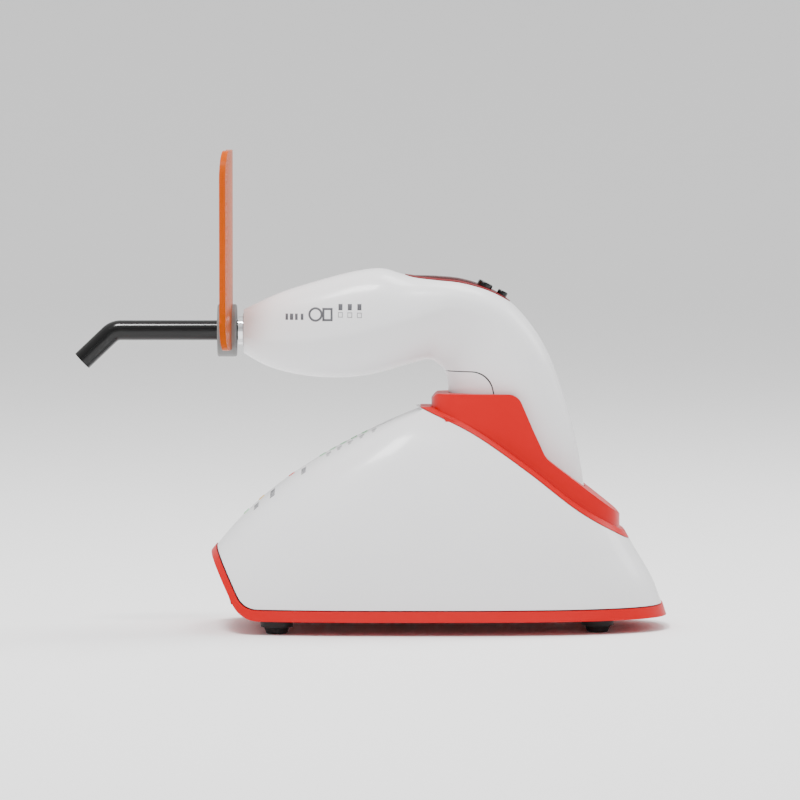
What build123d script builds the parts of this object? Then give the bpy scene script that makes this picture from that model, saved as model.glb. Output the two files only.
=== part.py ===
"""A cordless gun-type dental curing light, standing in its charging base.

The handpiece stands with its grip in the base's red cradle and lifts out along the grip. A bent
fibre light guide plugs into its nose and turns there, and a round eye shield hangs on the guide.

Millimetres. +Z is up, the light guide points to -X, and Y = 0 is the plane of symmetry. The origin is
under the middle of the whole object, on the surface that it stands on.
"""

from build123d import *

import math
import os

# ---------------------------------------------------------------- driving dimensions

FAR = 200.0  # reach of a cutting block, larger than the object

# handpiece: one row for each cross-section, from the nose to the foot of the grip:
# (x, z) on the underside or front, (x, z) on the top or back, half of the width
HANDPIECE_SECTIONS = [
    ((-52.9, 115.1), (-52.9, 133.5), 9.2),
    ((-45.4, 110.7), (-47.0, 136.3), 13.2),
    ((-35.7, 107.3), (-37.0, 140.7), 16.6),
    ((-21.0, 105.0), (-21.0, 145.7), 19.4),
    ((-6.3, 105.2), (-5.5, 149.6), 20.4),
    ((4.2, 107.1), (5.5, 150.6), 20.5),
    ((12.6, 109.6), (15.5, 147.9), 20.3),
    ((20.2, 111.7), (27.3, 147.4), 20.0),
    ((25.2, 112.4), (38.6, 146.2), 19.5),
    ((28.6, 110.7), (50.4, 142.2), 19.0),
    ((30.7, 108.8), (59.6, 136.0), 18.5),
    ((32.1, 105.4), (68.0, 126.6), 18.0),
    ((32.8, 101.6), (74.8, 115.1), 17.6),
    ((33.2, 98.3), (80.6, 99.5), 17.2),
    ((39.1, 80.0), (86.2, 80.0), 16.8),
    ((46.0, 59.0), (89.9, 59.0), 16.4),
    ((52.2, 40.0), (91.3, 40.0), 16.0),
]
HANDPIECE_ROUNDNESS = 2.3  # exponent of the cross-sections: 2 is an ellipse
HANDPIECE_WALL = 2.2

# base: one row for each level: height, foremost x, rearmost x, half of the width
BASE_SECTIONS = [
    (5.8, -84.0, 124.0, 46.5),
    (20.0, -75.5, 118.9, 46.3),
    (34.0, -64.7, 110.8, 45.0),
    (47.0, -53.3, 103.5, 42.0),
    (60.0, -38.4, 96.5, 37.5),
    (72.0, -20.4, 89.0, 32.0),
    (82.0, -1.8, 80.0, 25.5),
    (89.0, 13.3, 70.0, 18.5),
    (93.0, 24.5, 60.0, 12.0),
]
BASE_WIDEST_X = 22.0
BASE_ROUNDNESS = 2.8
BASE_WALL = 2.4
TRAY_UNDER = 5.8  # height of the tray's underside
TRAY_TOP = 10.3  # height of the seam between tray and shell
TRAY_FLOOR = 2.2
FLOOR_Z = TRAY_UNDER + TRAY_FLOOR
FRONT_SLOPE = math.radians(64.2)  # of the tray's front panel, above the horizontal
TRAY_CORNER = (-54.2, TRAY_UNDER)  # where the front panel's line meets the underside
SEAM_CORNER = (-52.7, TRAY_TOP)
SEAT_CURVE = [(23.5, 91.6), (42.6, 82.5), (65.1, 67.2), (87.6, 49.9), (107.5, 38.2)]

# cradle collar
CRADLE_CLEARANCE = 0.6
CRADLE_WALL = 2.2
COLLAR_FLANGE = 2.8
COLLAR_TOP = 98.6
COLLAR_HALF_WIDTH = 20.9
COLLAR_FRONT_X, COLLAR_MIDDLE_X, COLLAR_REAR_X = 25.8, 62.0, 104.8

# light guide and its socket, all on one axis along X
GUIDE_Z = 124.6
GUIDE_R = 4.25
CORE_R = 3.8
BEND_ANGLE = 43.5
BEND_RADIUS = 6.5
BEND_X = -107.3  # where the straight length and the tip would meet without the bend
TIP_LENGTH = 18.6  # from that corner to the tip's face
GUIDE_END_X = -38.5
FERRULE_R = 5.4
FLANGE_R = 5.9
SOCKET_R = 5.47
SOCKET_WALL = 0.8
NOSE_RING_R = 7.4
NOSE_X = -52.9

# eye shield
SHIELD_HALF_WIDTH = 33.0
SHIELD_BOTTOM, SHIELD_TOP = 117.0, 200.1
SHIELD_CORNERS = (12.0, 19.0)  # corner radii at the bottom and at the top
SHIELD_DISH_R = 259.0
SHIELD_THICKNESS = 2.5
SHIELD_X = -57.6  # the dished plate's rearmost face
GROMMET_R = 11.0
GROMMET_NECK_R = 8.0
GROMMET_X = (-63.9, -55.8)

# display panel and buttons on the handpiece's top
PANEL_X = (15.0, 58.5)
PANEL_HALF_WIDTH = 10.6
PANEL_THICKNESS = 1.6
BUTTON_SLOPE = -27.0  # degrees, of the top where the buttons are
PANEL_GAP = 0.15

# charging contacts
CONTACT_X, CONTACT_Y = 72.0, 7.0
PIN_R, PIN_TOP = 1.1, 39.95
LINER_BOTTOM = 36.5

# feet: x, half of the distance between left and right
FEET = {"front": (-38.6, 32.5), "rear": (94.9, 24.5)}
FOOT_R = 6.7

os.makedirs("parts", exist_ok=True)


def finish(piece, name):
    """Labels a finished piece and writes it to its own file."""
    piece.part.label = name
    export_step(piece.part, f"parts/{name}.step")


# ---------------------------------------------------------------- shared forms


def arch(front, back, half, roundness, count=10):
    """One side of a superellipse: points from its reach along +x, over y = half, to -x."""
    points = []
    for k in range(count + 1):
        c = round(math.cos(math.pi * k / count), 9)
        s = round(math.sin(math.pi * k / count), 9)
        reach = back if c > 0 else front
        points.append(
            (math.copysign(reach * abs(c) ** (2 / roundness), c), half * abs(s) ** (2 / roundness))
        )
    return points


def handpiece_form(inset):
    """The +Y half of the handpiece's outer form, with its skin moved inwards by inset."""
    with BuildPart() as form:
        for number, (low, high, half) in enumerate(HANDPIECE_SECTIONS):
            across = Vector(high[0] - low[0], 0, high[1] - low[1])
            reach = across.length / 2 - inset
            across = across.normalized()
            onwards = Vector(across.Z, 0, -across.X)
            middle = Vector((low[0] + high[0]) / 2, 0, (low[1] + high[1]) / 2)
            if number == len(HANDPIECE_SECTIONS) - 1:
                middle -= onwards * inset
            with BuildSketch(Plane(origin=middle, x_dir=across, z_dir=-onwards)):
                with BuildLine():
                    points = arch(reach, reach, half - inset, HANDPIECE_ROUNDNESS, count=14)
                    side = Spline(*points, tangents=((0, 1), (0, -1)))
                    Line(side @ 1, side @ 0)
                make_face()
        loft(ruled=True)
    return form.part


def base_form(inset):
    """The +Y half of the base's dome, before the cradle seat and the front panel cut it."""
    with BuildPart() as form:
        for z, front, back, half in BASE_SECTIONS:
            with BuildSketch(Plane.XY.offset(z)):
                with BuildLine():
                    points = arch(
                        BASE_WIDEST_X - front - inset,
                        back - BASE_WIDEST_X - inset,
                        half - inset,
                        BASE_ROUNDNESS,
                    )
                    side = Spline(
                        *[(x + BASE_WIDEST_X, y) for x, y in points], tangents=((0, 1), (0, -1))
                    )
                    Line(side @ 1, side @ 0)
                make_face()
        loft(ruled=True)
    return form.part


def above_seat(raise_by):
    """The space over the curved seat that carries the cradle collar."""
    first, last = SEAT_CURVE[0], SEAT_CURVE[-1]
    with BuildPart() as space:
        with BuildSketch(Plane.XZ):
            with BuildLine():
                curve = Spline(*[(x, z + raise_by) for x, z in SEAT_CURVE])
                Polyline(
                    curve @ 1,
                    (last[0] + 40, last[1] - 20 + raise_by),
                    (last[0] + 40, FAR),
                    (first[0] - 25, FAR),
                    (first[0] - 25, first[1] + 10 + raise_by),
                    curve @ 0,
                )
            make_face()
        extrude(amount=FAR, both=True)
    return space.part


def above_front(corner, radius):
    """The space over a horizontal line and behind the sloping front, rounded where they meet."""
    run = (-90.0 * math.cos(FRONT_SLOPE), 90.0 * math.sin(FRONT_SLOPE))
    with BuildPart() as space:
        with BuildSketch(Plane.XZ):
            with BuildLine():
                edge = FilletPolyline(
                    (corner[0] + run[0], corner[1] + run[1]), corner, (FAR, corner[1]), radius=radius
                )
                Polyline(edge @ 1, (FAR, FAR), (corner[0] + run[0], FAR), edge @ 0)
            make_face()
        extrude(amount=FAR, both=True)
    return space.part


def side_block(points, half_width):
    """A closed outline in the plane of symmetry, given a width."""
    with BuildPart() as block:
        with BuildSketch(Plane.XZ):
            with BuildLine():
                Polyline(*points, close=True)
            make_face()
        extrude(amount=half_width, both=True)
    return block.part


def axis_plane(x, z=GUIDE_Z, towards=1):
    """A plane across the light guide's axis, facing +X or -X."""
    return Plane(origin=(x, 0, z), x_dir=(0, 1, 0), z_dir=(towards, 0, 0))


handpiece_outer = handpiece_form(0)
handpiece_inner = handpiece_form(HANDPIECE_WALL)
pocket_space = handpiece_form(-CRADLE_CLEARANCE)
liner_outline = [(26.4, 103.0), (48.3, 36.5), (94.8, 36.5), (94.8, 52.0), (84.0, 103.0)]
liner_hole_outline = [(26.0, 103.0), (47.9, 36.0), (95.3, 36.0), (95.3, 52.0), (84.5, 103.0)]
LINER_HALF_WIDTH = 20.4
dome_outer = base_form(0)
dome_inner = base_form(BASE_WALL)
flange_form = base_form(0.3)
seat_cut = above_seat(0)
seat_cut_inner = above_seat(-BASE_WALL)
tray_line = above_front(TRAY_CORNER, 12)
tray_line_inner = above_front(
    (TRAY_CORNER[0] + TRAY_FLOOR * 0.63, TRAY_CORNER[1] + TRAY_FLOOR), 10
)
seam_line = above_front(SEAM_CORNER, 9)

# ---------------------------------------------------------------- base: shell, tray, collar

# places of the indicator lenses along the middle of the shell's front, as shares of its length
front_crest = Spline(
    *[(front, 0, z) for z, front, _, _ in BASE_SECTIONS[2:8]]
)
STATUS_PLACES = {"ready": 0.20, "charge": 0.29, "error": 0.455}
SCALE_PLACES = [0.615, 0.667, 0.719, 0.771, 0.823]
METER_PLACE = 0.93


def crest_plane(share, rise=0.0):
    """A plane lying on the shell's front at that share of its length, facing outwards."""
    along = front_crest % share
    out = Vector(-along.Z, 0, along.X).normalized()
    return Plane(origin=front_crest @ share + out * rise, x_dir=(0, 1, 0), z_dir=out)


LENS_R = 1.5
LENS_DEPTH = 4.5
LENS_PROUD = 0.35
METER_R = 4.5
TRAY_POSTS = [(-22.0, 31.0), (100.0, 16.0)]  # and the same on the other side
POST_R = 3.6
POST_HOLE_R = 1.25

with BuildPart() as base_shell:
    add(dome_outer)
    add(seat_cut, mode=Mode.SUBTRACT)
    add(seam_line, mode=Mode.INTERSECT)
    with BuildPart(mode=Mode.PRIVATE) as cavity:
        add(dome_inner)
        add(seat_cut_inner, mode=Mode.SUBTRACT)
    add(cavity.part, mode=Mode.SUBTRACT)
    # the screw post reaches down from the shell's inside to the tray's floor
    for post_x, post_y in TRAY_POSTS:
        with BuildPart(mode=Mode.PRIVATE) as post:
            with BuildSketch(Plane.XY.offset(FLOOR_Z)):
                with Locations((post_x, post_y)):
                    Circle(POST_R)
            extrude(amount=60)
            add(dome_outer, mode=Mode.INTERSECT)
            add(seat_cut, mode=Mode.SUBTRACT)
        add(post.part)
        with Locations((post_x, post_y, FLOOR_Z)):
            Cylinder(POST_HOLE_R, 18, mode=Mode.SUBTRACT)
    mirror(about=Plane.XZ)
    add(side_block(liner_hole_outline, LINER_HALF_WIDTH + 0.4), mode=Mode.SUBTRACT)
    for share in [*STATUS_PLACES.values(), *SCALE_PLACES]:
        with BuildSketch(crest_plane(share, 5)):
            Circle(LENS_R + 0.05)
        extrude(amount=-12, mode=Mode.SUBTRACT)
    with BuildSketch(crest_plane(METER_PLACE, 5)):
        Circle(METER_R + 0.05)
    extrude(amount=-10, mode=Mode.SUBTRACT)
finish(base_shell, "base_shell")

JACK_X, JACK_Z = -58.6, 14.8  # middle of the power inlet's face
JACK_TILT = 17.0  # degrees that the inlet's mouth points down
jack_out = Vector(-math.cos(math.radians(JACK_TILT)), 0, -math.sin(math.radians(JACK_TILT)))
jack_face = Plane(origin=(JACK_X - 1.2, 0, JACK_Z - 0.4), x_dir=(0, 1, 0), z_dir=jack_out)
JACK_SIZE = (11.0, 10.4)
JACK_DEPTH = 13.0

with BuildPart() as base_tray:
    add(dome_outer)
    add(tray_line, mode=Mode.INTERSECT)
    add(seam_line, mode=Mode.SUBTRACT)
    with BuildPart(mode=Mode.PRIVATE) as hollow:
        add(dome_inner)
        add(tray_line_inner, mode=Mode.INTERSECT)
    add(hollow.part, mode=Mode.SUBTRACT)
    for post_x, post_y in TRAY_POSTS:
        with Locations((post_x, post_y, TRAY_UNDER)):
            Cylinder(1.6, 3 * TRAY_FLOOR, mode=Mode.SUBTRACT)
            Cylinder(3.1, 2.0, mode=Mode.SUBTRACT)
    for foot_x, foot_y in FEET.values():
        with Locations((foot_x, foot_y, TRAY_UNDER)):
            Cylinder(1.9, 3 * TRAY_FLOOR, mode=Mode.SUBTRACT)
    mirror(about=Plane.XZ)
    with BuildSketch(jack_face):
        Rectangle(JACK_SIZE[0] + 0.1, JACK_SIZE[1] + 0.1)
    extrude(amount=-JACK_DEPTH - 6, mode=Mode.SUBTRACT)
finish(base_tray, "base_tray")

with BuildPart() as collar_wall:
    with BuildSketch(Plane.XZ):
        with BuildLine():
            rim = FilletPolyline(
                (18.0, 60.0),
                (18.0, 88.0),
                (28.0, COLLAR_TOP),
                (61.7, COLLAR_TOP),
                (73.4, 72.2),
                (103.6, 49.0),
                (112.0, 40.0),
                (112.0, 30.0),
                radius=(1.5, 1.5, 6.0, 9.0, 1.2, 2.0),
            )
            Line(rim @ 1, rim @ 0)
        make_face()
    extrude(amount=FAR, both=True)
    with BuildPart(mode=Mode.PRIVATE) as plan:
        with BuildSketch(Plane.XY):
            with BuildLine():
                points = arch(
                    COLLAR_MIDDLE_X - COLLAR_FRONT_X, COLLAR_REAR_X - COLLAR_MIDDLE_X, COLLAR_HALF_WIDTH, 3.0
                )
                side = Spline(
                    *[(x + COLLAR_MIDDLE_X, y) for x, y in points], tangents=((0, 1), (0, -1))
                )
                Line(side @ 1, side @ 0)
            make_face()
        extrude(amount=FAR)
    add(plan.part, mode=Mode.INTERSECT)
    add(seat_cut, mode=Mode.INTERSECT)

with BuildPart() as cradle_collar:
    add(flange_form)
    add(seat_cut, mode=Mode.INTERSECT)
    add(above_seat(COLLAR_FLANGE), mode=Mode.SUBTRACT)
    add(collar_wall.part)
    with BuildPart(mode=Mode.PRIVATE) as liner:
        add(side_block(liner_outline, LINER_HALF_WIDTH))
        split(bisect_by=Plane.XZ, keep=Keep.BOTTOM)
        add(above_seat(0.4), mode=Mode.SUBTRACT)
    add(liner.part)
    add(pocket_space, mode=Mode.SUBTRACT)
    add(handpiece_outer.moved(Location((-0.4, 0, 0.4))), mode=Mode.SUBTRACT)
    with Locations((CONTACT_X, CONTACT_Y, 38)):
        Cylinder(PIN_R + 0.06, 12, mode=Mode.SUBTRACT)
    mirror(about=Plane.XZ)
finish(cradle_collar, "cradle_collar")

# ---------------------------------------------------------------- base: feet, power inlet, electronics

for end, (foot_x, foot_y) in FEET.items():
    for hand, side in (("left", -1), ("right", 1)):
        with BuildPart() as foot:
            with BuildSketch(Plane.XZ) as foot_profile:
                with BuildLine():
                    Polyline((0, 0), (0, TRAY_UNDER + TRAY_FLOOR), (1.9, TRAY_UNDER + TRAY_FLOOR))
                    Polyline((1.9, TRAY_UNDER + TRAY_FLOOR), (1.9, TRAY_UNDER), (FOOT_R, TRAY_UNDER))
                    Polyline((FOOT_R, TRAY_UNDER), (FOOT_R, 3.0), (5.2, 2.6), (4.4, 0.5), (3.9, 0))
                    Line((3.9, 0), (0, 0))
                make_face()
            revolve(axis=Axis.Z)
        foot.part = foot.part.moved(Location((foot_x, side * foot_y, 0)))
        finish(foot, f"foot_{end}_{hand}")

with BuildPart() as dc_socket:
    with BuildSketch(jack_face):
        RectangleRounded(*JACK_SIZE, 1.2)
    extrude(amount=-JACK_DEPTH)
    with BuildSketch(jack_face):
        Circle(3.2)
    extrude(amount=-9.6, mode=Mode.SUBTRACT)
finish(dc_socket, "dc_socket")

with BuildPart() as dc_socket_pin:
    with BuildSketch(jack_face.offset(-9.6)):
        Circle(1.0)
    extrude(amount=8.6)
    fillet(dc_socket_pin.faces().sort_by(Axis.X)[0].edges(), 0.5)
finish(dc_socket_pin, "dc_socket_pin")

BALLAST = (98.0, 50.0, 3.0)
with BuildPart() as ballast_plate:
    with BuildSketch(Plane.XY.offset(FLOOR_Z)):
        with Locations((35.0, 0)):
            RectangleRounded(BALLAST[0], BALLAST[1], 6)
            with GridLocations(84, 36, 2, 2):
                Circle(2.0, mode=Mode.SUBTRACT)
    extrude(amount=BALLAST[2])
finish(ballast_plate, "ballast_plate")

with BuildPart() as ballast_screws:
    with Locations((35.0, 0, FLOOR_Z + BALLAST[2])):
        with GridLocations(84, 36, 2, 2):
            Cylinder(3.4, 1.8, align=(Align.CENTER, Align.CENTER, Align.MIN))
            Cylinder(1.8, 3.0, align=(Align.CENTER, Align.CENTER, Align.MAX))
finish(ballast_screws, "ballast_screws")

CHARGER_Z = 19.0
with BuildPart() as charger_board:
    with Locations((5.0, 0, CHARGER_Z)):
        Box(74, 44, 1.6)
    with Locations((5.0, 0, (FLOOR_Z + BALLAST[2] + CHARGER_Z) / 2 - 0.4)):
        with GridLocations(34, 30, 2, 2):
            Cylinder(2.2, CHARGER_Z - 0.8 - FLOOR_Z - BALLAST[2])
finish(charger_board, "charger_board")

with BuildPart() as charger_coil:
    with Locations((20.0, 8.0, CHARGER_Z + 0.8)):
        Box(16, 14, 11, align=(Align.CENTER, Align.CENTER, Align.MIN))
    chamfer(charger_coil.edges().filter_by(Axis.Z), 1.5)
finish(charger_coil, "charger_coil")

with BuildPart() as charger_capacitors:
    with Locations((-8.0, 12.0, CHARGER_Z + 0.8), (-8.0, -2.0, CHARGER_Z + 0.8)):
        Cylinder(4.0, 12, align=(Align.CENTER, Align.CENTER, Align.MIN))
    with Locations((4.0, -14.0, CHARGER_Z + 0.8)):
        Cylinder(3.0, 9, align=(Align.CENTER, Align.CENTER, Align.MIN))
finish(charger_capacitors, "charger_capacitors")

with BuildPart() as tray_screws:
    for post_x, post_y in TRAY_POSTS:
        with Locations((post_x, post_y, TRAY_UNDER + 1.0)):
            Cylinder(2.9, 1.0, align=(Align.CENTER, Align.CENTER, Align.MAX))
            Cylinder(POST_HOLE_R, 9, align=(Align.CENTER, Align.CENTER, Align.MIN))
    mirror(about=Plane.XZ)
finish(tray_screws, "tray_screws")

for light, share in STATUS_PLACES.items():
    with BuildPart() as status_light:
        with BuildSketch(crest_plane(share, LENS_PROUD)):
            Circle(LENS_R)
        extrude(amount=-LENS_DEPTH)
    finish(status_light, f"{light}_light")

with BuildPart() as level_lights:
    for share in SCALE_PLACES:
        with BuildSketch(crest_plane(share, LENS_PROUD)):
            Circle(LENS_R)
        extrude(amount=-LENS_DEPTH)
finish(level_lights, "level_lights")

with BuildPart() as meter_window:
    with BuildSketch(crest_plane(METER_PLACE, 0.1)):
        Circle(METER_R)
    extrude(amount=-2.4)
finish(meter_window, "meter_window")

with BuildPart() as meter_sensor:
    with BuildSketch(crest_plane(METER_PLACE, -2.4)):
        Circle(3.2)
    extrude(amount=-4.2)
finish(meter_sensor, "meter_sensor")

with BuildPart() as meter_board:
    with BuildSketch(crest_plane(0.78, -7.6)):
        Rectangle(20, 40)
    extrude(amount=-1.6)
finish(meter_board, "meter_board")

with BuildPart() as status_board:
    with BuildSketch(crest_plane(0.33, -7.6)):
        Rectangle(22, 34)
    extrude(amount=-1.6)
finish(status_board, "status_board")

with BuildPart() as contact_block:
    with Locations((CONTACT_X, 0, 26.0)):
        Box(10, 30, 4.5, align=(Align.CENTER, Align.CENTER, Align.MIN))
    with Locations((CONTACT_X, 13.0, 30.5), (CONTACT_X, -13.0, 30.5)):
        Box(10, 4, LINER_BOTTOM - 30.5, align=(Align.CENTER, Align.CENTER, Align.MIN))
    with Locations((CONTACT_X, CONTACT_Y, 26.0), (CONTACT_X, -CONTACT_Y, 26.0)):
        Cylinder(PIN_R + 0.06, 20, mode=Mode.SUBTRACT)
finish(contact_block, "contact_block")

for hand, side in (("left", -1), ("right", 1)):
    with BuildPart() as contact_pin:
        with Locations((CONTACT_X, side * CONTACT_Y, 28.0)):
            Cylinder(PIN_R, PIN_TOP - 28.0, align=(Align.CENTER, Align.CENTER, Align.MIN))
        with Locations((CONTACT_X, side * CONTACT_Y, LINER_BOTTOM - 0.3)):
            Cylinder(2.0, 1.0, align=(Align.CENTER, Align.CENTER, Align.MAX))
        fillet(contact_pin.faces().sort_by(Axis.Z)[-1].edges(), 0.6)
    finish(contact_pin, f"contact_pin_{hand}")

    with BuildPart() as contact_spring:
        with BuildLine():
            Helix(0.95, 4.3, 1.6, center=(CONTACT_X, side * CONTACT_Y, 30.75))
        with BuildSketch(Plane(origin=(CONTACT_X + 1.6, side * CONTACT_Y, 30.75), z_dir=(0, 1, 0.1))):
            Circle(0.2)
        sweep()
    finish(contact_spring, f"contact_spring_{hand}")

# ---------------------------------------------------------------- handpiece: housing

PANEL_MIDDLE_X = sum(PANEL_X) / 2
PANEL_HALF_LENGTH = (PANEL_X[1] - PANEL_X[0]) / 2


def leaf(margin=0.0):
    """The +Y half of a tall block with the display panel's leaf outline."""
    with BuildPart() as block:
        with BuildSketch(Plane.XY.offset(120)):
            with BuildLine():
                length = PANEL_HALF_LENGTH + margin
                points = arch(length, length, PANEL_HALF_WIDTH + margin, 2.2)
                side = Spline(
                    *[(x + PANEL_MIDDLE_X, y) for x, y in points], tangents=((0, 1), (0, -1))
                )
                Line(side @ 1, side @ 0)
            make_face()
        extrude(amount=60)
    return block.part


BUTTONS = {  # the middle of each button on the housing's top, and its size along and across
    "power": ((48.0, 0, 143.3), (6.4, 12.0)),
    "mode": ((55.2, 0, 139.68), (4.4, 8.0)),
}
BUTTON_PROUD = 1.7
BUTTON_SKIRT = 4.4  # depth of the button's retaining skirt under the housing's top


def button_plane(name, rise=0.0):
    """The plane of a button's motion: x along the handpiece, z outwards."""
    slope = math.radians(BUTTON_SLOPE)
    out = Vector(-math.sin(slope), 0, math.cos(slope))
    return Plane(
        origin=Vector(*BUTTONS[name][0]) + out * rise,
        x_dir=(math.cos(slope), 0, math.sin(slope)),
        z_dir=out,
    )


cover_line = [(15.0, 108.0), (50.0, 108.0), (68.5, 20.0)]
with BuildPart() as cover_side:
    with BuildSketch(Plane.XZ):
        with BuildLine():
            seam = FilletPolyline(*cover_line, radius=9)
            Polyline(seam @ 1, (15.0, 20.0), seam @ 0)
        make_face()
    extrude(amount=FAR, both=True)

COVER_SCREW_X = 58.0
STUDS = [(-12.0, 110.5), (30.0, 119.0), (-40.0, 134.5), (74.0, 108.0)]
STUD_R, STUD_REACH = 1.2, 9.0

sunk_top = handpiece_outer.moved(Location((0, 0, -PANEL_THICKNESS)))

with BuildPart() as housing:
    add(handpiece_outer)
    add(handpiece_inner, mode=Mode.SUBTRACT)
    add(cover_side.part, mode=Mode.SUBTRACT)
    # the recess of the display panel, its window and the button slots
    with BuildPart(mode=Mode.PRIVATE) as recess:
        add(leaf(PANEL_GAP))
        add(sunk_top, mode=Mode.SUBTRACT)
    add(recess.part, mode=Mode.SUBTRACT)
    with BuildSketch(Plane.XY.offset(130)):
        with Locations((31.0, 0)):
            RectangleRounded(21, 13, 1.5)
    extrude(amount=40, mode=Mode.SUBTRACT)
    for name, (_, size) in BUTTONS.items():
        with BuildSketch(button_plane(name, 6)):
            SlotOverall(size[1] + 0.5, size[0] + 0.5, rotation=90)
        extrude(amount=-14, mode=Mode.SUBTRACT)
    # the wall behind the nose, with the bore for the light guide's socket
    with BuildPart(mode=Mode.PRIVATE) as nose_wall:
        add(handpiece_outer)
        with Locations((NOSE_X + 1.5, 0, GUIDE_Z)):
            Box(3.0, 60, 60, mode=Mode.INTERSECT)
    add(nose_wall.part)
    # bosses for the studs that hold the two halves together
    for stud in STUDS:
        with BuildPart(mode=Mode.PRIVATE) as boss:
            with BuildSketch(Plane.XZ):
                with Locations(stud):
                    Circle(3.0)
            extrude(amount=-FAR)
            add(handpiece_outer, mode=Mode.INTERSECT)
        add(boss.part)
    with BuildSketch(Plane.XZ):
        with Locations(*STUDS):
            Circle(STUD_R)
    extrude(amount=-STUD_REACH, mode=Mode.SUBTRACT)
    with BuildSketch(axis_plane(NOSE_X - 2)):
        Circle(NOSE_RING_R)
    extrude(amount=8, mode=Mode.SUBTRACT)
    with Locations((CONTACT_X, CONTACT_Y, 40.0)):
        Cylinder(3.0, 6, mode=Mode.SUBTRACT)
finish(housing, "housing_right")

with BuildPart() as housing_left:
    add(housing.part)
    mirror(about=Plane.XZ, mode=Mode.REPLACE)
finish(housing_left, "housing_left")

with BuildPart() as battery_cover:
    add(handpiece_outer)
    add(handpiece_inner, mode=Mode.SUBTRACT)
    add(cover_side.part, mode=Mode.INTERSECT)
    mirror(about=Plane.XZ)
    with Locations((COVER_SCREW_X, 0, 40.0)):
        Cylinder(1.3, 6, mode=Mode.SUBTRACT)
        Cylinder(2.5, 2.2, mode=Mode.SUBTRACT)
finish(battery_cover, "battery_cover")

with BuildPart() as display_lens:
    add(handpiece_outer)
    add(leaf(), mode=Mode.INTERSECT)
    add(sunk_top.moved(Location((0, 0, 0.05))), mode=Mode.SUBTRACT)
    mirror(about=Plane.XZ)
    for name, (_, size) in BUTTONS.items():
        with BuildSketch(button_plane(name, 6)):
            SlotOverall(size[1] + 0.4, size[0] + 0.4, rotation=90)
        extrude(amount=-14, mode=Mode.SUBTRACT)
finish(display_lens, "display_lens")

# ---------------------------------------------------------------- handpiece: inside

with BuildPart() as housing_studs:
    with BuildSketch(Plane.XZ):
        with Locations(*STUDS):
            Circle(STUD_R)
    extrude(amount=STUD_REACH, both=True)
finish(housing_studs, "housing_studs")

with BuildPart() as nose_ring:
    with BuildSketch(axis_plane(NOSE_X - 0.3)):
        Circle(NOSE_RING_R)
        Circle(SOCKET_R + SOCKET_WALL, mode=Mode.SUBTRACT)
    extrude(amount=1.8)
    front_edge = nose_ring.edges().filter_by(GeomType.CIRCLE).group_by(Axis.X)[0].sort_by(SortBy.RADIUS)[-1]
    fillet(front_edge, 0.5)
finish(nose_ring, "nose_ring")

SOCKET_END_X = -36.5
with BuildPart() as guide_socket:
    with BuildSketch(axis_plane(NOSE_X)):
        Circle(SOCKET_R + SOCKET_WALL)
    extrude(amount=SOCKET_END_X - NOSE_X)
    with BuildSketch(axis_plane(NOSE_X + 1.5)):
        Circle(NOSE_RING_R)
    extrude(amount=1.5)
    with BuildSketch(axis_plane(NOSE_X)):
        Circle(SOCKET_R)
    extrude(amount=SOCKET_END_X - NOSE_X, mode=Mode.SUBTRACT)
finish(guide_socket, "guide_socket")

with BuildPart() as led_lens:
    with BuildSketch(axis_plane(SOCKET_END_X)):
        Circle(6.2)
    extrude(amount=2.7)
    with BuildSketch(axis_plane(SOCKET_END_X + 1.4)):
        Circle(2.6)
    extrude(amount=1.3, mode=Mode.SUBTRACT)
finish(led_lens, "led_lens")

LED_BOARD_X = SOCKET_END_X + 2.7
with BuildPart() as led_emitter:
    with BuildSketch(axis_plane(LED_BOARD_X, towards=-1)):
        Rectangle(3.4, 3.4)
    extrude(amount=0.9)
finish(led_emitter, "led_emitter")

with BuildPart() as led_board:
    with BuildSketch(axis_plane(LED_BOARD_X)):
        Circle(9.0)
    extrude(amount=1.6)
finish(led_board, "led_board")

SINK_X = LED_BOARD_X + 1.6
with BuildPart() as heat_sink:
    with BuildSketch(axis_plane(SINK_X)):
        Circle(5.0)
    extrude(amount=24)
    for fin in range(7):
        with BuildSketch(axis_plane(SINK_X + fin * 3.4)):
            Circle(10.9)
        extrude(amount=1.6)
finish(heat_sink, "heat_sink")

BOARD_Z = 128.0
with BuildPart() as control_board:
    with Locations((21.0, 0, BOARD_Z)):
        Box(50, 26, 1.6)
finish(control_board, "control_board")

with BuildPart() as control_chips:
    with Locations((6.0, 0, BOARD_Z + 0.8), (28.5, 8.0, BOARD_Z + 0.8)):
        Box(8, 8, 1.2, align=(Align.CENTER, Align.CENTER, Align.MIN))
finish(control_chips, "control_chips")

with BuildPart() as buzzer:
    with Locations((10.0, 0, BOARD_Z - 0.8)):
        Cylinder(5.0, 3.4, align=(Align.CENTER, Align.CENTER, Align.MAX))
finish(buzzer, "buzzer")

with BuildPart() as display_module:
    with Locations((31.0, 0, 140.6)):
        Box(20, 14, 2.8)
    with Locations((22.5, 0, 139.2), (34.5, 0, 139.2)):
        Box(1.6, 8, 139.2 - BOARD_Z - 0.8, align=(Align.CENTER, Align.CENTER, Align.MAX))
finish(display_module, "display_module")

SWITCH_TOP = 6.6  # depths under the housing's top, along each button's motion
SWITCH_FOOT = 10.4
with BuildPart() as button_board:
    with BuildSketch(button_plane("power", -SWITCH_FOOT).move(Location((3.6, 0, 0)))):
        Rectangle(18, 14)
    extrude(amount=-1.2)
finish(button_board, "button_board")

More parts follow.
